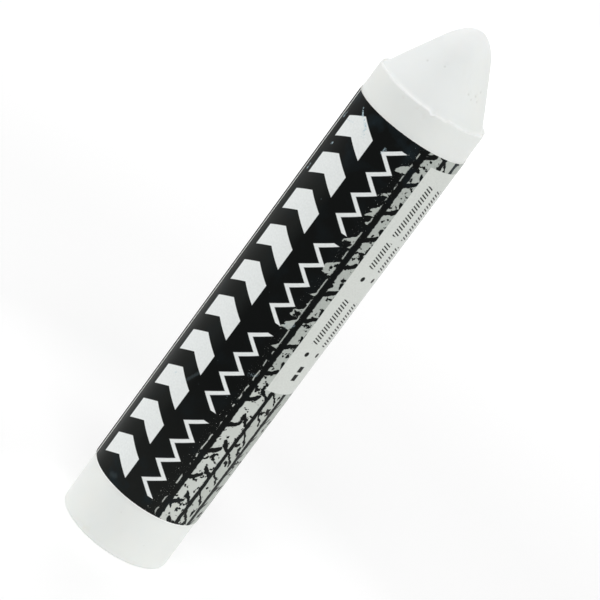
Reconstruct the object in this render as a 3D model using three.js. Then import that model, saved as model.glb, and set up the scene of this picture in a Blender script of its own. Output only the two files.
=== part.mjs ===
// A wax marking crayon: a cast stick of wax with a blunt moulded point, and a printed label
// wound once round its grip, the label's tail glued over its own start.
// Millimetres, +Z up. The crayon stands on its flat butt, whose centre is the origin.
// Angles round the stick are in degrees from the front of the label (-Y), towards +X.

import * as THREE from "three";

// Wax stick
const OVERALL_LENGTH = 112.5;
const BUTT_DIAMETER = 21.9;
const BUTT_EDGE_RADIUS = 0.45;
const DRAFT_ANGLE = 0.05; // of the grip, which the mould makes thinner towards the point
const POINT_LENGTH = 14.1; // from the shoulder's outer edge to the tip
const LEDGE_WIDTH = 0.9; // of the shoulder, from the grip in to the foot of the cone
const LEDGE_RISE = 0.6; // from the shoulder's outer edge to the foot of the cone
const LIP_RADIUS = 0.2; // of the bead that the mould's joint leaves round the shoulder's edge
const CONE_FOOT_RADIUS = 0.9; // of the hollow fillet between the ledge and the cone
const NOSE_LENGTH = 4.8; // of the soft nose, from where it leaves the cone to the tip

// Wrap label
const LABEL_THICKNESS = 0.05;
const GLUE_THICKNESS = 0.03; // left clear under the label and between the layers of its lap
const BARE_BUTT_LENGTH = 10.5; // wax showing below the label
const BARE_NECK_LENGTH = 5.65; // wax showing from the label up to the shoulder
const LAP_WIDTH = 4; // how far the tail lies over the start
const CLIMB_WIDTH = 1.2; // over which the tail rises onto the start
const SEAM_ANGLE = -76; // of the tail's cut edge

// Fineness of the round shapes
const FACETS_AROUND = 96;
const EDGE_STEPS = 4; // along each small rounded edge
const LIP_STEPS = 6;
const NOSE_STEPS = 12;

const buttRadius = BUTT_DIAMETER / 2;
const shoulderHeight = OVERALL_LENGTH - POINT_LENGTH;
const facetAngle = 360 / FACETS_AROUND;

function gripRadiusAt(height) {
  return buttRadius - height * Math.tan(THREE.MathUtils.degToRad(DRAFT_ANGLE));
}

// An arc that rounds off a corner of an outline, no larger than half of the shorter side allows.
function roundedCorner(before, corner, after, radius) {
  const back = before.clone().sub(corner);
  const ahead = after.clone().sub(corner);
  const halfAngle = back.angleTo(ahead) / 2;
  const reach = Math.min(
    radius / Math.tan(halfAngle),
    back.length() / 2,
    ahead.length() / 2,
  );
  back.normalize();
  ahead.normalize();
  const arcRadius = reach * Math.tan(halfAngle);
  const centre = back
    .clone()
    .add(ahead)
    .setLength(arcRadius / Math.sin(halfAngle))
    .add(corner);
  const start = corner.clone().addScaledVector(back, reach).sub(centre);
  const end = corner.clone().addScaledVector(ahead, reach).sub(centre);
  const turnsClockwise = start.cross(end) < 0;
  const arc = new THREE.ArcCurve(
    centre.x,
    centre.y,
    arcRadius,
    start.angle(),
    end.angle(),
    turnsClockwise,
  );
  return arc.getPoints(EDGE_STEPS);
}

// The nose is a parabola that leaves the cone without a kink and lies level at the tip, so its
// control point is where the cone's straight side would reach the tip's height.
function noseCurve(coneFoot) {
  const coneHeight = OVERALL_LENGTH - coneFoot.y;
  const control = new THREE.Vector2(
    (coneFoot.x * NOSE_LENGTH) / (coneHeight + NOSE_LENGTH),
    OVERALL_LENGTH,
  );
  const start = new THREE.Vector2(2 * control.x, OVERALL_LENGTH - NOSE_LENGTH);
  const tip = new THREE.Vector2(0, OVERALL_LENGTH);
  const curve = new THREE.QuadraticBezierCurve(start, control, tip);
  return curve.getPoints(NOSE_STEPS);
}

// The stick is turned from half of its outline: butt, drafted grip, lip, ledge, cone and nose.
function waxStickGeometry() {
  const buttCentre = new THREE.Vector2(0, 0);
  const buttEdge = new THREE.Vector2(buttRadius, 0);
  const shoulderRadius = gripRadiusAt(shoulderHeight);
  const lipMiddle = shoulderRadius - LIP_RADIUS;
  const lip = new THREE.ArcCurve(
    lipMiddle,
    shoulderHeight,
    LIP_RADIUS,
    0,
    Math.PI,
  ).getPoints(LIP_STEPS);
  const coneFoot = new THREE.Vector2(
    shoulderRadius - LEDGE_WIDTH,
    shoulderHeight + LEDGE_RISE,
  );
  const nose = noseCurve(coneFoot);
  const outline = [
    buttCentre,
    ...roundedCorner(buttCentre, buttEdge, lip[0], BUTT_EDGE_RADIUS),
    ...lip,
    ...roundedCorner(lip.at(-1), coneFoot, nose[0], CONE_FOOT_RADIUS),
    ...nose,
  ];
  return new THREE.LatheGeometry(outline, FACETS_AROUND).rotateX(Math.PI / 2);
}

// The angles at which a strip bends from one of its points up to the next: at the point itself
// and over each edge of the stick's facets, apart from one that is too near to either point.
function bendsBetween(from, to) {
  const tooNear = facetAngle / 4;
  const bends = [from];
  const first = Math.ceil((from + tooNear) / facetAngle);
  for (let i = first; i * facetAngle < to - tooNear; i += 1) {
    bends.push(i * facetAngle);
  }
  return bends;
}

function aroundStick(angle, radius) {
  const turn = THREE.MathUtils.degToRad(angle);
  return new THREE.Vector2(radius * Math.sin(turn), -radius * Math.cos(turn));
}

// The label is a strip wound a full turn and a lap, pushed up to full height as a straight tube,
// and then drawn in to lie on the drafted grip all the way up.
function wrapLabelGeometry() {
  const footRadius = gripRadiusAt(BARE_BUTT_LENGTH);
  const lapAngle = THREE.MathUtils.radToDeg(LAP_WIDTH / footRadius);
  const climbAngle = THREE.MathUtils.radToDeg(CLIMB_WIDTH / footRadius);
  const startAngle = SEAM_ANGLE - lapAngle;
  const lapFrom = startAngle + 360;
  const climbFrom = lapFrom - climbAngle;
  const tailAngle = SEAM_ANGLE + 360;
  const bends = [
    ...bendsBetween(startAngle, climbFrom),
    ...bendsBetween(climbFrom, lapFrom),
    ...bendsBetween(lapFrom, tailAngle),
    tailAngle,
  ];

  const undersideRadiusAt = (angle) =>
    footRadius +
    GLUE_THICKNESS +
    (LABEL_THICKNESS + GLUE_THICKNESS) *
      THREE.MathUtils.smoothstep(angle, climbFrom, lapFrom);
  const underside = bends.map((a) => aroundStick(a, undersideRadiusAt(a)));
  const printedSide = bends.map((a) =>
    aroundStick(a, undersideRadiusAt(a) + LABEL_THICKNESS),
  );

  const section = new THREE.Shape([...printedSide, ...underside.reverse()]);
  const labelWidth = shoulderHeight - BARE_NECK_LENGTH - BARE_BUTT_LENGTH;
  const geometry = new THREE.ExtrudeGeometry(section, {
    depth: labelWidth,
    bevelEnabled: false,
  });
  geometry.translate(0, 0, BARE_BUTT_LENGTH);
  return drawnInToGrip(geometry, footRadius);
}

// Moves each point in towards the axis by as much as the grip is thinner there than at footRadius.
function drawnInToGrip(geometry, footRadius) {
  const position = geometry.getAttribute("position");
  for (let i = 0; i < position.count; i += 1) {
    const radius = Math.hypot(position.getX(i), position.getY(i));
    const drawIn = footRadius - gripRadiusAt(position.getZ(i));
    const scale = (radius - drawIn) / radius;
    position.setXY(i, position.getX(i) * scale, position.getY(i) * scale);
  }
  return geometry;
}

function namedMesh(name, geometry, finish) {
  const mesh = new THREE.Mesh(geometry, new THREE.MeshStandardMaterial(finish));
  mesh.name = name;
  return mesh;
}

const crayon = new THREE.Group();
crayon.add(
  namedMesh("wax_stick", waxStickGeometry(), {
    color: 0xe7ebe8,
    roughness: 0.5,
    metalness: 0,
  }),
  namedMesh("wrap_label", wrapLabelGeometry(), {
    color: 0x181c1c,
    roughness: 0.3,
    metalness: 0,
  }),
);

export default crayon;
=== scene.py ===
import math
import bmesh
import bpy
from mathutils import Matrix, Vector


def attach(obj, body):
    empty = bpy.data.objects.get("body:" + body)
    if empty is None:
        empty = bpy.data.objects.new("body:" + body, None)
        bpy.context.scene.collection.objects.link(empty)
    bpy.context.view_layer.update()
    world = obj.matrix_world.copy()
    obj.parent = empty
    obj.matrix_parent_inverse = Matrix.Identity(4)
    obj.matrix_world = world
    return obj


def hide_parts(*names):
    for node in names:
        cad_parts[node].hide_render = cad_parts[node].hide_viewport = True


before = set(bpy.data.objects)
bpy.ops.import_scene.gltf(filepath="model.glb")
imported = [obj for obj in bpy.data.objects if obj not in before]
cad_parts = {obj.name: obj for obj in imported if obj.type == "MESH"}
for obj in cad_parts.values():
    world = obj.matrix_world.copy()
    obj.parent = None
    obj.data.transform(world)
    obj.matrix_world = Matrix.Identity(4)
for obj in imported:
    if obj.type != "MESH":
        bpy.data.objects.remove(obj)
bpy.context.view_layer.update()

# Camera
# The photograph looks a little down on the standing crayon through a long lens from half a metre away,
# and is turned so that the crayon leans to the right. Its front is the side at -Y.
mm = 0.001
camera_lens = 161.72
camera_distance = 470.8 * mm
camera_elevation = math.radians(16.863)
camera_roll = math.radians(36.486)
camera_aim = Vector((2.26, 0, 55.41)) * mm
camera_turn = Matrix.Rotation(math.radians(90) - camera_elevation, 3, "X")
camera_turn = camera_turn @ Matrix.Rotation(camera_roll, 3, "Z")
camera_place = camera_aim + camera_turn @ Vector((0, 0, camera_distance))
bpy.ops.object.camera_add(location=camera_place, rotation=camera_turn.to_euler())
camera = bpy.context.object
camera.data.lens = camera_lens
camera.data.clip_start = 10 * mm
camera.data.clip_end = 20
bpy.context.scene.camera = camera

# Floor and studio light
# The crayon stands on a table that glows softly, in a white room. Soft boxes light it from both sides,
# from above its front and from behind. The room and the table show as plain white.
room_level = 0.462
lamps_aim = Vector((0, 0, 56 * mm))
sheet_size = 8
floor_colour = (0.86, 0.86, 0.86, 1)
near_lift = 0.14
far_lift = 0.62
lift_starts = 0.15
lift_ends = 1.0
table_glow = 0.22
glow_starts_to_fade = 0.05
glow_ends = 0.13


def add_node(tree, kind, inputs=None, **options):
    """Adds a node, sets its options, and sets or links its inputs, which go by name or by number."""
    node = tree.nodes.new(kind)
    for name, value in options.items():
        setattr(node, name, value)
    for key, value in (inputs or {}).items():
        if isinstance(value, bpy.types.NodeSocket):
            tree.links.new(value, node.inputs[key])
        else:
            node.inputs[key].default_value = value
    return node


def seen_as_background(tree):
    """A socket that is 1 for what the camera sees straight on, in gloss or through glass, and else 0."""
    path = add_node(tree, "ShaderNodeLightPath")
    in_gloss = add_node(
        tree,
        "ShaderNodeMath",
        {0: path.outputs["Is Glossy Ray"], 1: path.outputs["Is Transmission Ray"]},
        operation="MAXIMUM",
    )
    seen = add_node(
        tree,
        "ShaderNodeMath",
        {0: path.outputs["Is Camera Ray"], 1: in_gloss.outputs[0]},
        operation="MAXIMUM",
    )
    return seen.outputs[0]


def add_soft_box(name, bearing, elevation, distance, size, power):
    """A square lamp that faces the crayon's middle. Bearing 0 is the front and 90 the right."""
    around = math.radians(bearing)
    above = math.radians(elevation)
    outwards = Vector((math.sin(around), -math.cos(around), 0)) * math.cos(above)
    outwards.z = math.sin(above)
    turn = outwards.to_track_quat("Z", "Y").to_euler()
    bpy.ops.object.light_add(type="AREA", location=lamps_aim + outwards * distance, rotation=turn)
    lamp = bpy.context.object
    lamp.name = name
    lamp.data.shape = "SQUARE"
    lamp.data.size = size
    lamp.data.energy = power
    lamp.visible_camera = False
    lamp.visible_glossy = False


room = bpy.data.worlds.new("white_room")
room.use_nodes = True
bpy.context.scene.world = room
room_strength = add_node(
    room.node_tree,
    "ShaderNodeMapRange",
    {"Value": seen_as_background(room.node_tree), "To Min": room_level, "To Max": 1.0},
)
room_light = room.node_tree.nodes["Background"]
room_light.inputs["Color"].default_value = (1, 1, 1, 1)
room.node_tree.links.new(room_strength.outputs[0], room_light.inputs["Strength"])

bpy.ops.mesh.primitive_plane_add(size=sheet_size, location=(0, 0, 0))
floor = bpy.context.object
floor.name = "white_sheet"
sheet_paper = bpy.data.materials.new("white_sheet_paper")
sheet_paper.use_nodes = True
sheet_shader = sheet_paper.node_tree.nodes["Principled BSDF"]
sheet_shader.inputs["Base Color"].default_value = floor_colour
sheet_shader.inputs["Roughness"].default_value = 0.9
sheet_shader.inputs["Specular IOR Level"].default_value = 0.0
sheet_shader.inputs["Emission Color"].default_value = (1, 1, 1, 1)
sheet_place = add_node(sheet_paper.node_tree, "ShaderNodeTexCoord")
sheet_distance = add_node(
    sheet_paper.node_tree,
    "ShaderNodeVectorMath",
    {0: sheet_place.outputs["Object"]},
    operation="LENGTH",
)
lift_by_distance = add_node(
    sheet_paper.node_tree,
    "ShaderNodeMapRange",
    {
        "Value": sheet_distance.outputs["Value"],
        "From Min": lift_starts,
        "From Max": lift_ends,
        "To Min": near_lift,
        "To Max": far_lift,
    },
)
sheet_lift = add_node(
    sheet_paper.node_tree,
    "ShaderNodeMath",
    {0: seen_as_background(sheet_paper.node_tree), 1: lift_by_distance.outputs[0]},
    operation="MULTIPLY",
)
# The table glows softly from below where the crayon stands
glow_by_distance = add_node(
    sheet_paper.node_tree,
    "ShaderNodeMapRange",
    {
        "Value": sheet_distance.outputs["Value"],
        "From Min": glow_starts_to_fade,
        "From Max": glow_ends,
        "To Min": table_glow,
        "To Max": 0.0,
    },
)
sheet_strength = add_node(
    sheet_paper.node_tree,
    "ShaderNodeMath",
    {0: sheet_lift.outputs[0], 1: glow_by_distance.outputs[0]},
    operation="MAXIMUM",
)
sheet_paper.node_tree.links.new(sheet_strength.outputs[0], sheet_shader.inputs["Emission Strength"])
floor.data.materials.append(sheet_paper)

add_soft_box("left_soft_box", bearing=-100, elevation=18, distance=0.75, size=0.5, power=1.58)
add_soft_box("right_soft_box", bearing=85, elevation=12, distance=0.75, size=0.5, power=1.47)
add_soft_box("front_soft_box", bearing=0, elevation=60, distance=0.8, size=0.5, power=2.5)
add_soft_box("back_soft_box", bearing=180, elevation=24, distance=0.75, size=0.5, power=1.3)

bpy.context.scene.view_settings.view_transform = "Standard"

# Wax stick
# One casting of white pigmented wax: a flat butt with a softened edge, a grip that the mould makes a
# little thinner towards the point, a small ledge with a cast lip, a blunt cone and a soft nose.
# It comes out of the mould slightly rippled, with a wavy lip and a few pinholes.
butt_radius = 10.95 * mm
butt_edge_radius = 0.45 * mm
butt_edge_steps = 6
butt_ring_widths = (0.4 * mm, 2 * mm, 3 * mm, 3 * mm)
draft_angle = math.radians(0.05)
point_length = 14.1 * mm
ledge_width = 0.9 * mm
ledge_rise = 0.6 * mm
lip_radius = 0.2 * mm
nose_length = 4.8 * mm
bare_butt_length = 10.5 * mm
bare_neck_length = 5.65 * mm
# A hair under 112.5 mm, so that the rippled tip stays inside the box of the CAD model
overall_length = 112.499 * mm
shoulder_height = overall_length - point_length
stick_corners = 192
lip_steps = 8
cone_steps = 22
nose_steps = 16
pinhole_width = 0.45 * mm
pinhole_depth = 0.14 * mm


def grip_radius_at(height):
    return butt_radius - height * math.tan(draft_angle)


def point_outline():
    """The radius and height of each ring from the shoulder's outer edge to the tip."""
    shoulder_radius = grip_radius_at(shoulder_height)
    lip_middle = shoulder_radius - lip_radius
    for step in range(1, lip_steps + 1):
        turn = math.pi * step / lip_steps
        yield lip_middle + lip_radius * math.cos(turn), shoulder_height + lip_radius * math.sin(turn)
    foot_radius = shoulder_radius - ledge_width
    foot_height = shoulder_height + ledge_rise
    nose_height = overall_length - nose_length
    cone_height = overall_length - foot_height
    nose_control = foot_radius * nose_length / (cone_height + nose_length)
    for step in range(cone_steps + 1):
        share = step / cone_steps
        radius = foot_radius + (2 * nose_control - foot_radius) * share
        yield radius, foot_height + (nose_height - foot_height) * share
    for step in range(1, nose_steps + 1):
        share = step / nose_steps
        radius = 2 * nose_control * (1 - share) ** 2 + nose_control * 2 * share * (1 - share)
        yield radius, overall_length - nose_length * (1 - share) ** 2


def choose_points(piece, wanted):
    """Selects in edit mode the points that wanted says yes to, and the edges and faces between them."""
    bpy.ops.mesh.select_all(action="DESELECT")
    shape = bmesh.from_edit_mesh(piece.data)
    for point in shape.verts:
        point.select = wanted(point.co)
    shape.select_flush(True)
    bmesh.update_edit_mesh(piece.data)


def place_on_stick(angle, height, radius):
    """The point at an angle in degrees from the front towards +X, at a height and a radius."""
    turn = math.radians(angle)
    return Vector((radius * math.sin(turn), -radius * math.cos(turn), height))


bpy.ops.object.select_all(action="DESELECT")
bpy.ops.mesh.primitive_cylinder_add(
    vertices=stick_corners,
    radius=butt_radius,
    depth=shoulder_height,
    location=(0, 0, shoulder_height / 2),
)
stick = bpy.context.object
stick.name = "cast_wax_stick"
bpy.ops.object.transform_apply(location=True, rotation=True, scale=True)
bpy.ops.object.mode_set(mode="EDIT")
bpy.ops.mesh.select_mode(type="VERT")

choose_points(stick, lambda point: point.z > shoulder_height / 2)
draft = grip_radius_at(shoulder_height) / butt_radius
bpy.ops.transform.resize(value=(draft, draft, 1), center_override=(0, 0, shoulder_height))
ring_radius = grip_radius_at(shoulder_height)
ring_height = shoulder_height
for radius, height in point_outline():
    bpy.ops.mesh.extrude_region_move(TRANSFORM_OT_translate={"value": (0, 0, height - ring_height)})
    shrink = radius / ring_radius
    bpy.ops.transform.resize(value=(shrink, shrink, 1), center_override=(0, 0, height))
    ring_radius = radius
    ring_height = height
bpy.ops.mesh.merge(type="CENTER")

choose_points(stick, lambda point: point.z < butt_edge_radius / 2)
bpy.ops.mesh.bevel(offset=butt_edge_radius, segments=butt_edge_steps, affect="EDGES")
choose_points(stick, lambda point: point.z < butt_edge_radius / 100)
for width in butt_ring_widths:
    bpy.ops.mesh.inset(thickness=width)
bpy.ops.mesh.poke()


def cut_rings(low, high, step):
    """Cuts level rings of edges round the stick, evenly from low to high."""
    count = round((high - low) / step)
    for ring in range(count + 1):
        height = low + (high - low) * ring / count
        bpy.ops.mesh.select_all(action="SELECT")
        bpy.ops.mesh.bisect(plane_co=(0, 0, height), plane_no=(0, 0, 1))


# The rings are close where the wax shows, and far apart under the label
label_foot = bare_butt_length
label_head = shoulder_height - bare_neck_length
cut_rings(1 * mm, label_foot + 1 * mm, step=0.4 * mm)
cut_rings(label_foot + 4 * mm, label_head - 4 * mm, step=3 * mm)
cut_rings(label_head - 1 * mm, shoulder_height - lip_radius, step=0.3 * mm)


def press_in(piece, place, width, depth):
    """Pushes the nearest point of the piece and what is round it towards the axis."""
    shape = bmesh.from_edit_mesh(piece.data)
    nearest = min(shape.verts, key=lambda point: (point.co - place).length)
    spot = nearest.co.copy()
    choose_points(piece, lambda point: (point - spot).length < 0.001 * mm)
    inward = Vector((-place.x, -place.y, 0)).normalized() * depth
    bpy.ops.transform.translate(
        value=inward,
        use_proportional_edit=True,
        proportional_edit_falloff="SMOOTH",
        proportional_size=width,
    )


# The rounded top of the lip is marked on its points, so that its white, partly scraped wax and partly a
# painted highlight where it catches the light, moves with it
shape = bmesh.from_edit_mesh(stick.data)
lip_scrape_and_highlight = shape.verts.layers.float.new("lip_scrape_and_highlight")
slack = 0.01 * mm
for point in shape.verts:
    if -slack <= point.co.z - shoulder_height < lip_radius + slack:
        point[lip_scrape_and_highlight] = 1.0
bmesh.update_edit_mesh(stick.data)

# The lip wavers up and down round the stick: each stretch of angles and how far it stands up, in mm
lip_wavers = [
    (-74, -46, 0.1),
    (-46, -34, 0.02),
    (-34, -24, -0.01),
    (-24, -4, -0.02),
    (-4, 5, 0.0),
    (5, 7, -0.1),
    (7, 11, -0.38),
    (11, 16, -0.06),
    (16, 24, -0.03),
    (24, 34, 0.24),
    (34, 41, 0.1),
    (41, 60, 0.1),
    (60, 72, 0.06),
]
lip_centre = shoulder_height + 0.05 * mm
lip_reach = 0.26 * mm
for from_angle, to_angle, rise in lip_wavers:
    choose_points(
        stick,
        lambda point: abs(point.z - lip_centre) < lip_reach
        and from_angle <= math.degrees(math.atan2(point.x, -point.y)) < to_angle,
    )
    bpy.ops.transform.translate(value=(0, 0, rise * mm))

# The lip's nick and the two shallow dents below it: angle, height, radius, width and depth, in mm
dents = [
    (7.3, 98.499, 10.7, 0.8, 0.1),
    (3.7, 97.0, 10.87, 1.0, 0.08),
    (-2.0, 97.4, 10.87, 0.9, 0.05),
]
for angle, height, radius, width, depth in dents:
    press_in(stick, place_on_stick(angle, height * mm, radius * mm), width * mm, depth * mm)

# The pinholes in the cone: angle, height and radius, in mm
pinholes = [
    (-38.2, 104.06, 7.12),
    (37.5, 103.62, 7.36),
    (51.0, 103.8, 7.26),
    (60.3, 104.63, 6.81),
    (44.2, 103.05, 7.67),
    (55.8, 103.09, 7.65),
    (-12.8, 105.12, 6.55),
]
for angle, height, radius in pinholes:
    press_in(stick, place_on_stick(angle, height * mm, radius * mm), pinhole_width, pinhole_depth)
bpy.ops.object.mode_set(mode="OBJECT")


def ripple(piece, name, spacing, depth, weight_at):
    """Displaces the surface by soft clouds of that spacing, weighted by each point's height."""
    group = piece.vertex_groups.new(name=name)
    for point in piece.data.vertices:
        group.add([point.index], weight_at(point.co), "REPLACE")
    clouds = bpy.data.textures.new(name, "CLOUDS")
    clouds.noise_scale = spacing
    clouds.noise_depth = 1
    bpy.ops.object.modifier_add(type="DISPLACE")
    displace = piece.modifiers[-1]
    displace.texture = clouds
    displace.texture_coords = "LOCAL"
    displace.vertex_group = name
    displace.strength = depth
    displace.mid_level = 0.5
    bpy.ops.object.modifier_apply(modifier=displace.name)
    piece.vertex_groups.remove(piece.vertex_groups[name])


butt_fade = 2 * mm
tip_fade = 4 * mm
lip_fade = 0.6 * mm


def skin_weight(point):
    """Full on the walls, and nothing at the butt, under the label and at the tip."""
    under_label = label_foot < point.z < label_head
    from_ends = min(point.z / butt_fade, (overall_length - point.z) / tip_fade)
    return 0.0 if under_label else max(0.0, min(1.0, from_ends))


def lip_weight(point):
    """Full on the lip, and nothing at lip_fade above and below it."""
    return max(0.0, 1 - abs(point.z - shoulder_height) / lip_fade)


ripple(stick, "slow_ripple", spacing=7 * mm, depth=0.16 * mm, weight_at=skin_weight)
ripple(stick, "fine_ripple", spacing=1.6 * mm, depth=0.05 * mm, weight_at=skin_weight)
ripple(stick, "wavy_lip", spacing=1.8 * mm, depth=0.2 * mm, weight_at=lip_weight)

bpy.ops.object.mode_set(mode="EDIT")
bpy.ops.mesh.select_all(action="SELECT")
bpy.ops.mesh.normals_make_consistent(inside=False)
bpy.ops.object.mode_set(mode="OBJECT")
bpy.ops.object.shade_smooth_by_angle(angle=math.radians(50))

wax_cool = (0.808, 0.834, 0.815, 1)
wax_warm = (0.825, 0.84, 0.812, 1)
wax_clean_and_lit = (0.846, 0.868, 0.859, 1)
wax_scrape_and_highlight = (0.95, 0.96, 0.955, 1)
wax_stain = (0.74, 0.70, 0.52, 1)
wax_smudge = (0.66, 0.61, 0.58, 1)
pinhole_painted_shade = (0.56, 0.57, 0.54, 1)


class Field:
    """A number that varies over a piece, worked out by Math nodes in its material."""

    def __init__(self, tree, socket):
        self.tree = tree
        self.socket = socket

    def made(self, operation, *others, clamped=False):
        """The field that an operation makes of this one and the others, fields or numbers."""
        node = add_node(self.tree, "ShaderNodeMath", operation=operation, use_clamp=clamped)
        for number, value in enumerate((self, *others)):
            if isinstance(value, Field):
                self.tree.links.new(value.socket, node.inputs[number])
            else:
                node.inputs[number].default_value = value
        return Field(self.tree, node.outputs[0])

    def __add__(self, other):
        return self.made("ADD", other)

    def __sub__(self, other):
        return self.made("SUBTRACT", other)

    def __mul__(self, other):
        return self.made("MULTIPLY", other)

    def __abs__(self):
        return self.made("ABSOLUTE")

    def least(self, other):
        return self.made("MINIMUM", other)

    def most(self, other):
        return self.made("MAXIMUM", other)

    def repeated(self, step):
        """Starts again from 0 at every step."""
        return self.made("WRAP", step, 0.0)

    def ramp(self, low, high):
        """0 below low, 1 above high and even between them. It falls where high is under low."""
        return (self - low).made("MULTIPLY", 1 / (high - low), clamped=True)


def most_of(fields):
    """The greatest of several fields at each point."""
    greatest = fields[0]
    for field in fields[1:]:
        greatest = greatest.most(field)
    return greatest


def place_in_mm(tree):
    """The point on the piece as a vector in millimetres."""
    place = add_node(tree, "ShaderNodeTexCoord")
    scaled = add_node(
        tree,
        "ShaderNodeVectorMath",
        {0: place.outputs["Object"], "Scale": 1 / mm},
        operation="SCALE",
    )
    return scaled.outputs[0]


def cloud(tree, place, spacing, detail=2.0, roughness=0.5):
    """Soft noise from 0 to 1 with blobs about as far apart as spacing, in the units of place."""
    noise = add_node(
        tree,
        "ShaderNodeTexNoise",
        {"Vector": place, "Scale": 1 / spacing, "Detail": detail, "Roughness": roughness},
    )
    return Field(tree, noise.outputs[0])


def painted(tree, under, over, mask):
    """The colour over laid on the colour under as far as mask says."""
    mix = add_node(tree, "ShaderNodeMix", data_type="RGBA")
    factor_input, under_input, over_input = 0, 6, 7
    for number, value in ((factor_input, mask.socket), (under_input, under), (over_input, over)):
        if isinstance(value, bpy.types.NodeSocket):
            tree.links.new(value, mix.inputs[number])
        else:
            mix.inputs[number].default_value = value
    return mix.outputs[2]


wax = bpy.data.materials.new("white_pigmented_wax")
wax.use_nodes = True
tree = wax.node_tree
shader = tree.nodes["Principled BSDF"]
place = place_in_mm(tree)
mottle = cloud(tree, place, 5.0, detail=3.0)
grain = cloud(tree, place, 0.35, detail=3.0)
body = painted(tree, wax_cool, wax_warm, mottle.ramp(0.3, 0.7))
wax_axes = add_node(tree, "ShaderNodeSeparateXYZ", {"Vector": place})
to_right = Field(tree, wax_axes.outputs["X"])
up = Field(tree, wax_axes.outputs["Z"]) + (cloud(tree, place, 1.1) - 0.5) * 0.35
above_lip = up - (shoulder_height / mm + 0.16)
# The cone is painted whiter than the grip, partly cleaner wax and partly painted light on its upward
# face, apart from the cone's own right side, which keeps the darker grip colour as painted shade
off_right_side = (to_right + above_lip * 0.35).ramp(8.5, 2.5)
body = painted(tree, body, wax_clean_and_lit, above_lip.ramp(-0.15, 0.2) * off_right_side)
# The nose is painted a little whiter on top and at its left, a painted highlight where the light from
# above falls
nose_painted_highlight = up.ramp(107.5, 111.0) * to_right.ramp(4.5, 0.5)
body = painted(tree, body, wax_scrape_and_highlight, nose_painted_highlight * 0.4)
# The lip is painted whiter, partly scraped wax and partly a painted highlight where its top catches the
# light, less so to the right of its nick and at the far left
on_lip = add_node(tree, "ShaderNodeAttribute", attribute_name="lip_scrape_and_highlight").outputs["Fac"]
lip_cover = Field(tree, on_lip) * cloud(tree, place, 0.9, detail=3.0).ramp(0.2, 0.5)
left_of_nick = to_right.ramp(2.6, 1.4) * 0.4 + 0.6
off_far_left = to_right.ramp(-9.0, -5.0) * 0.6 + 0.4
body = painted(tree, body, wax_scrape_and_highlight, lip_cover * left_of_nick.least(off_far_left))


def near(tree, place, angle, height, radius, reach):
    """1 at a spot on the stick, falling to 0 at reach from it, all in mm."""
    spot = place_on_stick(angle, height, radius)
    distance = add_node(tree, "ShaderNodeVectorMath", {0: place, 1: spot}, operation="DISTANCE")
    return Field(tree, distance.outputs["Value"]).ramp(reach, 0.0)


# Faint yellow stains on the butt's edge, where it has stood, and at the left of the lip: angle, height,
# radius and reach, in mm
stain_spots = [
    (-23, 1.1, 10.95, 1.6),
    (30.8, 0.5, 10.95, 2.0),
    (-88, 97.9, 10.95, 1.2),
]
stains = most_of([near(tree, place, *spot) for spot in stain_spots])
body = painted(tree, body, wax_stain, stains * cloud(tree, place, 0.8).ramp(0.4, 0.7) * 0.22)

# Small brown smudges below the lip, in the same terms
smudge_spots = [
    (4.2, 97.0, 10.87, 0.6),
    (-6.0, 97.7, 10.87, 0.5),
    (-21.5, 97.6, 10.87, 0.5),
]
smudges = most_of([near(tree, place, *spot) for spot in smudge_spots])
body = painted(tree, body, wax_smudge, smudges * grain.ramp(0.35, 0.65) * 0.28)

# Painted shade darkens the pinholes: those pressed in above, and a sparse scatter of finer ones
cells = add_node(tree, "ShaderNodeTexVoronoi", {"Vector": place, "Scale": 0.3})
fine_holes = Field(tree, cells.outputs["Distance"]).ramp(0.05, 0.02)
chance = add_node(tree, "ShaderNodeSeparateColor", {"Color": cells.outputs["Color"]})
fine_holes = fine_holes * Field(tree, chance.outputs[0]).ramp(0.72, 0.74)
pinhole_reach = 0.3
pressed_holes = most_of([near(tree, place, *spot, pinhole_reach) for spot in pinholes])
body = painted(tree, body, pinhole_painted_shade, pressed_holes.most(fine_holes * 0.5) * 0.5)
tree.links.new(body, shader.inputs["Base Color"])

sheen = mottle * 0.14 + grain * 0.1 + 0.36
tree.links.new(sheen.socket, shader.inputs["Roughness"])
shader.inputs["Specular IOR Level"].default_value = 0.28
shader.inputs["Subsurface Weight"].default_value = 0.25
shader.inputs["Subsurface Radius"].default_value = (1.0, 0.9, 0.8)
shader.inputs["Subsurface Scale"].default_value = 1.5 * mm
skin = cloud(tree, place, 1.2, detail=2.0) * 0.5 + grain * 0.35 - fine_holes
bump = add_node(
    tree,
    "ShaderNodeBump",
    {"Height": skin.socket, "Strength": 0.35, "Distance": 0.03 * mm},
)
tree.links.new(bump.outputs[0], shader.inputs["Normal"])
stick.data.materials.append(wax)

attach(stick, "root")
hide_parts("wax_stick")

# Wrap label
# A strip of glossy printed paper, wound once round the grip and glued, its tail lying over its start.
# The tail's cut edge shows white at the left, and so do the strip's two long cut edges.
label_thickness = 0.05 * mm
glue_thickness = 0.03 * mm
lap_width = 4 * mm
climb_width = 1.2 * mm
seam_angle = -76
strip_rows = 82
strip_step = 1.5
climb_steps = 6
foot_radius = grip_radius_at(label_foot)
under_radius = foot_radius + glue_thickness
lap_angle = math.degrees(lap_width / foot_radius)
climb_angle = math.degrees(climb_width / foot_radius)
start_angle = seam_angle - lap_angle
main_angle = 360 - climb_angle

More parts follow.
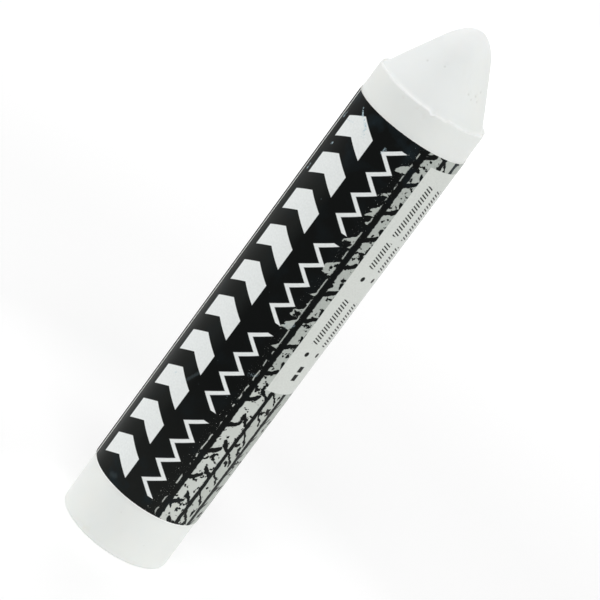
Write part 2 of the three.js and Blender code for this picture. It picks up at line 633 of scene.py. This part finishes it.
# The strip's start is one upright edge on the grip, made from a plane shrunk to a point and drawn up
foot = place_on_stick(start_angle, label_foot, under_radius)
head = place_on_stick(start_angle, label_head, under_radius - foot_radius + grip_radius_at(label_head))
bpy.ops.object.select_all(action="DESELECT")
bpy.ops.mesh.primitive_plane_add(size=1 * mm, location=foot)
label = bpy.context.object
label.name = "printed_wrap_label"
bpy.ops.object.transform_apply(location=True, rotation=True, scale=True)
bpy.ops.object.mode_set(mode="EDIT")
bpy.ops.mesh.select_mode(type="VERT")
bpy.ops.mesh.select_all(action="SELECT")
bpy.ops.mesh.merge(type="CENTER")
bpy.ops.mesh.extrude_region_move(TRANSFORM_OT_translate={"value": head - foot})
bpy.ops.mesh.select_all(action="SELECT")
bpy.ops.mesh.subdivide(number_cuts=strip_rows - 1)
bpy.ops.mesh.select_all(action="SELECT")


def wind(angle, steps):
    """Winds the strip on round the stick from its selected edge, from the front towards +X."""
    bpy.ops.mesh.spin(steps=steps, angle=math.radians(angle), center=(0, 0, 0), axis=(0, 0, -1))


wind(main_angle, round(main_angle / strip_step))
climb = label_thickness + glue_thickness
radius_before = under_radius
for step in range(1, climb_steps + 1):
    wind(climb_angle / climb_steps, 1)
    share = step / climb_steps
    radius_after = under_radius + climb * share * share * (3 - 2 * share)
    lift = radius_after / radius_before
    bpy.ops.transform.resize(value=(lift, lift, 1), center_override=(0, 0, 0))
    radius_before = radius_after
wind(lap_angle, round(lap_angle / strip_step))
bpy.ops.mesh.select_all(action="SELECT")
bpy.ops.mesh.normals_make_consistent(inside=False)
bpy.ops.object.mode_set(mode="OBJECT")

ink = bpy.data.materials.new("printed_label_film")
paper = bpy.data.materials.new("cut_label_paper")
label.data.materials.append(ink)
label.data.materials.append(paper)
bpy.ops.object.modifier_add(type="SOLIDIFY")
wall = label.modifiers[-1]
wall.thickness = label_thickness
wall.offset = 1
wall.material_offset = 1
wall.material_offset_rim = 1
bpy.ops.object.modifier_apply(modifier=wall.name)
bpy.ops.object.shade_smooth_by_angle(angle=math.radians(40))

black_ink = (0.0021, 0.0028, 0.0026, 1)
sheen_and_foot_grey = (0.0092, 0.0105, 0.0096, 1)
blue_bloom = (0.008, 0.015, 0.019, 1)
white_ink = (0.78, 0.81, 0.80, 1)
white_ink_bright = (0.84, 0.87, 0.86, 1)
tread_grey = (0.57, 0.60, 0.56, 1)
tread_worn = (0.47, 0.50, 0.46, 1)
tread_rubbed = (0.40, 0.43, 0.395, 1)
tread_dim = (0.37, 0.40, 0.37, 1)
tread_bright = (0.60, 0.63, 0.60, 1)
panel_white = (0.64, 0.664, 0.63, 1)
panel_bright = (0.695, 0.72, 0.685, 1)
stroke_black = (0.012, 0.013, 0.012, 1)
scuff_and_highlight_blue = (0.46, 0.60, 0.66, 1)
cut_paper = (0.93, 0.935, 0.915, 1)
cut_paper_fibre = (0.70, 0.70, 0.66, 1)
print_softness = 0.1

ink.use_nodes = True
tree = ink.node_tree
shader = tree.nodes["Principled BSDF"]
place = place_in_mm(tree)
axes = add_node(tree, "ShaderNodeSeparateXYZ", {"Vector": place})
to_right = Field(tree, axes.outputs["X"])
to_back = Field(tree, axes.outputs["Y"])
along = Field(tree, axes.outputs["Z"])
mm_per_degree = math.radians(1) * (under_radius + label_thickness) / mm
across = to_right.made("ARCTAN2", to_back * -1) * (mm_per_degree / math.radians(1))


def inside(value, low, high):
    """How far value lies inside the stretch from low to high. It is negative outside."""
    return (value - low).least((value - high) * -1)


def laid(distance, softness=print_softness):
    """The cover of a printed shape, from how far inside its outline a point lies."""
    return distance.ramp(-softness / 2, softness / 2)


flat = add_node(tree, "ShaderNodeCombineXYZ", {"X": across.socket, "Y": along.socket}).outputs[0]
broad_wander = cloud(tree, flat, 1.3, detail=3.0) - 0.5
fine_wander = cloud(tree, flat, 0.4, detail=2.0) - 0.5
speckle = cloud(tree, flat, 0.22, detail=2.0)

# Broad row of ten chevrons that point to the tip
chevron_middle = -40.8 * mm_per_degree
chevron_half_width = 3.92
chevron_start = 15.4
chevron_pitch = 7.88
chevron_bar = 4.35
chevron_slope = 0.55
chevron_count = 10
off_middle = abs(across - chevron_middle)
up_chevron = along + off_middle * chevron_slope - chevron_start
chevrons = inside(up_chevron.repeated(chevron_pitch), 0, chevron_bar)
chevrons = chevrons.least(inside(up_chevron, 0, chevron_count * chevron_pitch - 1))
chevrons = chevrons.least((off_middle - chevron_half_width) * -1)

# Narrow zigzag rule beside it, broken into four lengths
rule_middle = 1.7 * mm_per_degree
rule_half_stroke = 0.34
rule_reach = 1.42
rule_pitch = 4.39
rule_slope = 4 * rule_reach / rule_pitch
rule_start = 13.3
length_pitch = 4.5 * rule_pitch
length_each = 4 * rule_pitch
length_count = 4
up_length = (along - rule_start).repeated(length_pitch)
swing = abs(up_length.repeated(rule_pitch) - rule_pitch / 2) - rule_pitch / 4
off_rule = abs(across - rule_middle - swing * rule_slope)
rule = (off_rule * math.cos(math.atan(rule_slope)) - rule_half_stroke) * -1
rule = rule.least(inside(up_length, 0, length_each))
rule = rule.least(inside(along, rule_start, rule_start + length_count * length_pitch - 1))

# A worn print of a plain tread to the right, alike on both sides of its middle: two ribs and a narrow
# one in between, with straight grooves and slanted cuts that run in from the ribs' edges
tread_middle = 78 * mm_per_degree
rough = fine_wander * 0.35 + (speckle - 0.5) * 0.2
worn_along = along + broad_wander * 1.5
worn_across = across + broad_wander * 0.5
from_middle = abs(worn_across - tread_middle)


def cuts(slope, pitch, half_width, start, end, shift=0.0):
    """How far inside one of a row of slanted cuts a point lies. They run from start to end."""
    slanted = worn_along + from_middle * slope + shift
    length = inside(from_middle, start, end)
    return (abs(slanted.repeated(pitch) - pitch / 2) - half_width).most(length * -1) * -1


def knobs(slope, pitch, radius, at, shift=0.0):
    """How far inside one of a row of round knobs a point lies. They sit on the cuts of that slope."""
    slanted = worn_along + from_middle * slope + shift
    off_along = slanted.repeated(pitch) - pitch / 2
    off_across = from_middle - at
    return ((off_along * off_along + off_across * off_across).made("SQRT") - radius) * -1


outer_rib_edges = (6.47, 9.7)
inner_rib_edges = (3.03, 5.54)
centre_rib_edge = 1.97
outer_pitch = 5.9
outer_slope = 0.62
outer_slope_inwards = -0.8
inner_pitch = 4.6
inner_slope = -1.2
centre_pitch = 3.9
centre_slope = 1.4
outer_cuts = most_of(
    [
        cuts(outer_slope, outer_pitch, half_width=0.52, start=8.2, end=11),
        knobs(outer_slope, outer_pitch, radius=0.56, at=8.2),
        cuts(outer_slope_inwards, outer_pitch, half_width=0.5, start=5.8, end=7.7, shift=4.0),
        knobs(outer_slope_inwards, outer_pitch, radius=0.66, at=7.8, shift=4.0),
    ]
)
inner_cuts = cuts(inner_slope, inner_pitch, half_width=0.38, start=3.8, end=7)
inner_cuts = inner_cuts.most(knobs(inner_slope, inner_pitch, radius=0.46, at=3.8))
centre_cuts = cuts(centre_slope, centre_pitch, half_width=0.3, start=1.5, end=3)
centre_cuts = centre_cuts.most(knobs(centre_slope, centre_pitch, radius=0.34, at=1.5))
outer_rib = inside(from_middle, *outer_rib_edges).least(outer_cuts * -1)
inner_rib = inside(from_middle, *inner_rib_edges).least(inner_cuts * -1)
centre_rib = ((from_middle - centre_rib_edge) * -1).least(centre_cuts * -1)
# Blots where the print is worn away, smaller and closer on the outer rib
blots = (cloud(tree, flat, 2.0, detail=3.0, roughness=0.55) - 0.6) * 5
small_blots = (cloud(tree, flat, 1.1, detail=2.0) - 0.62) * 4
blots = blots.most(inside(from_middle, 6, 10).least(small_blots))
ribs = most_of([outer_rib, inner_rib, centre_rib]).least(blots * -1) + rough * 0.6

# A thin dashed line runs outside the ribs, and torn blocks stand on it, with slanted ends
dashes_from = 10.94
dashes_to = 11.14
block_edge = 12.9
blocks_low = 49
blocks_high = 89
line_breaks = (cloud(tree, flat, 2.2, detail=2.0) - 0.48) * 4
edge_dashes = inside(from_middle, dashes_from, dashes_to).least(line_breaks).least((along - 10) * 0.006)
slant = worn_along + from_middle * outer_slope
slanted = add_node(tree, "ShaderNodeCombineXYZ", {"Y": slant.socket}).outputs[0]
block_reach = (cloud(tree, slanted, 3.0, detail=2.0) - 0.5) * 20 + rough * 1.5
worn_shoulder = inside(from_middle, 11.0, block_edge).least(block_reach - from_middle + 10.9)
worn_shoulder = worn_shoulder.least(inside(along, blocks_low, blocks_high)).least(blots * -1)
shoulder_specks = inside(from_middle, 10.6, 12.8).least((speckle - 0.71) * 3)
tread = most_of([ribs, edge_dashes, worn_shoulder, shoulder_specks])

# A pale panel over the tread. Three rows of plain slanted strokes run up it, in lengths with a dot
# before each, and two short bars stand at its foot.
panel_left = 37.7 * mm_per_degree
panel_right = 99 * mm_per_degree
panel_foot = 41.3
panel_head = 90.4
panel = inside(across, panel_left, panel_right).least(inside(along, panel_foot, panel_head))
row_first = 10.28
row_pitch = 3.36
row_count = 3
row_half_height = 0.78
row_stretches = [(52.6, 62.4), (69.4, 75.0), (76.4, 87.2)]
dot_heights = (50.2, 67.0)
dot_radius = 0.5
bar_stretches = [(44.4, 45.8), (46.3, 47.6)]
bars_at = 11.6
bar_half_length = 0.6
stroke_pitch = 0.62
stroke_width = 0.28
from_first_row = across - row_first + row_pitch / 2
row_number = (from_first_row * (1 / row_pitch)).made("FLOOR")
off_row = from_first_row.repeated(row_pitch) - row_pitch / 2
row_shift = along + row_number * 0.5
in_stretch = most_of([inside(row_shift, start, end) for start, end in row_stretches])
strokes = inside((along + off_row * 0.35).repeated(stroke_pitch), 0, stroke_width)
strokes = strokes.least((abs(off_row) - row_half_height) * -1).least(in_stretch)
off_dot = abs(along - dot_heights[0]).least(abs(along - dot_heights[1]))
dots = ((off_row * off_row + off_dot * off_dot).made("SQRT") - dot_radius) * -1
bars = most_of([inside(along, start, end) for start, end in bar_stretches])
bars = bars.least((abs(across - bars_at) - bar_half_length) * -1)
panel_marks = most_of([strokes, dots, bars]).least(inside(row_number, -0.5, row_count - 0.5))


def scuff(start_angle, start_height, end_angle, end_height, half_width, shows):
    """As much as shows along a line on the label between two points, and 0 at half_width from it."""
    start = Vector((start_angle * mm_per_degree, start_height))
    run = Vector((end_angle * mm_per_degree, end_height)) - start
    right = across - start.x
    up = along - start.y
    share = (right * (run.x / run.length_squared) + up * (run.y / run.length_squared)).ramp(0, 1)
    off_right = right - share * run.x
    off_up = up - share * run.y
    distance = (off_right * off_right + off_up * off_up).made("SQRT")
    return (distance + fine_wander * 0.5).ramp(half_width, half_width * 0.3) * shows


# Creases where the film has cracked, most of them near the head, and two faint smears. The creases'
# light blue is partly a painted highlight where the creased film catches the light.
# Each goes from an angle and a height to another, and then come half its width and how far it shows.
creases = [
    (-50, 91.3, -44, 90.3, 0.26, 1.0),
    (-40, 90.1, -35, 89.5, 0.34, 1.0),
    (-33, 89.1, -31, 87.8, 0.42, 0.9),
    (-60, 87.7, -49, 88.3, 0.16, 0.7),
    (-7.5, 87.8, -6.5, 88.8, 0.28, 0.6),
    (-58, 82.8, -57, 83.1, 0.3, 0.8),
    (-68.5, 76.5, -68, 77.2, 0.36, 0.8),
    (-70.8, 87.4, -70.2, 88.5, 0.36, 0.8),
    (-45, 33.5, -44, 33.9, 0.26, 0.8),
    (16, 53.4, 20, 54.1, 0.6, 0.34),
    (15, 42.4, 20, 43.0, 0.5, 0.3),
]
smears = [
    (-31, 33.6, -22, 37.4, 0.4, 0.05),
    (-34, 11.8, -30, 12.1, 0.7, 0.03),
]
worn_through = (speckle + broad_wander * 0.9).ramp(0.42, 0.58)
scuffs = most_of([scuff(*line) for line in creases]) * worn_through
scuffs = scuffs.most(most_of([scuff(*line) for line in smears]))
rubs = add_node(tree, "ShaderNodeTexVoronoi", {"Vector": flat, "Scale": 0.42})
rub_chance = add_node(tree, "ShaderNodeSeparateColor", {"Color": rubs.outputs["Color"]})
small_rubs = Field(tree, rubs.outputs["Distance"]).ramp(0.07, 0.03)
small_rubs = small_rubs * Field(tree, rub_chance.outputs[0]).ramp(0.6, 0.95)

# The cut edges show white paper where the ink ends short of them
edge_height = along + fine_wander * 0.08
cut_edges = edge_height.ramp(label_foot / mm + 0.24, label_foot / mm + 0.14)
cut_edges = cut_edges.most(edge_height.ramp(label_head / mm - 0.1, label_head / mm - 0.04))
tail_edge = across - seam_angle * mm_per_degree
cut_edges = cut_edges.most(tail_edge.ramp(-0.28, -0.2) * tail_edge.ramp(0.06, 0.0))

print_grain = cloud(tree, flat, 0.4, detail=2.0).ramp(0.3, 0.7)
# The black is painted greyer towards the left, a painted sheen, and greyer towards the foot
painted_left_sheen = inside(across, -84 * mm_per_degree, -20 * mm_per_degree).ramp(0, 2.5) * along.ramp(88, 78)
greyer_towards_foot = along.ramp(38, 12)
black_greyed_by_sheen = painted(tree, black_ink, sheen_and_foot_grey, painted_left_sheen.most(greyer_towards_foot))
near_ends = along.ramp(80, 92).most(along.ramp(20, 12))
bloom = cloud(tree, flat, 4.5, detail=4.0).ramp(0.5, 0.7) * (near_ends * 0.8 + 0.2)
colour = painted(tree, black_greyed_by_sheen, blue_bloom, bloom)
colour = painted(tree, colour, scuff_and_highlight_blue, small_rubs * 0.16)
beside_panel = along.ramp(38, 45) * from_middle.ramp(6.1, 6.5)
tread_tone = painted(tree, tread_grey, tread_worn, from_middle.ramp(6.4, 5.6))
tread_tone = painted(tree, tread_tone, tread_rubbed, from_middle.ramp(2.9, 2.0))
tread_tone = painted(tree, tread_tone, tread_dim, beside_panel * 0.85)
grey = painted(tree, tread_tone, tread_bright, print_grain * 0.3)
colour = painted(tree, colour, grey, laid(tread, softness=0.14))
pale = painted(tree, panel_white, panel_bright, print_grain)
colour = painted(tree, colour, pale, laid(panel))
colour = painted(tree, colour, stroke_black, laid(panel_marks, softness=0.12))
white = painted(tree, white_ink, white_ink_bright, print_grain)
colour = painted(tree, colour, white, laid(chevrons.most(rule)))
# The creases' light blue is partly a painted highlight on the creased film
colour = painted(tree, colour, scuff_and_highlight_blue, scuffs)
colour = painted(tree, colour, cut_paper, cut_edges)
tree.links.new(colour, shader.inputs["Base Color"])
shader.inputs["Specular IOR Level"].default_value = 0.06
# The lap is duller, where hands have rubbed it, most of all towards the head
lap = tail_edge.ramp(-9, -4)
lap_rubbed = lap * tail_edge.ramp(0.5, -0.5) * 0.3
lap_rubbed = lap_rubbed + lap * across.ramp(-9.5, -12.5) * along.ramp(40, 72) * 0.16
gloss = cloud(tree, flat, 3.0, detail=3.0) * 0.12 + scuffs * 0.2 + lap_rubbed + 0.34
tree.links.new(gloss.socket, shader.inputs["Roughness"])
film = cloud(tree, flat, 4.0, detail=1.0) + speckle * 0.05 + scuffs * 0.8
film_bump = add_node(
    tree,
    "ShaderNodeBump",
    {"Height": film.socket, "Strength": 0.4, "Distance": 0.05 * mm},
)
tree.links.new(film_bump.outputs[0], shader.inputs["Normal"])

paper.use_nodes = True
tree = paper.node_tree
fibre = cloud(tree, place_in_mm(tree), 0.12, detail=3.0)
paper_shader = tree.nodes["Principled BSDF"]
paper_colour = painted(tree, cut_paper, cut_paper_fibre, fibre.ramp(0.3, 0.7))
tree.links.new(paper_colour, paper_shader.inputs["Base Color"])
paper_shader.inputs["Roughness"].default_value = 0.8

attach(label, "root")
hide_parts("wrap_label")
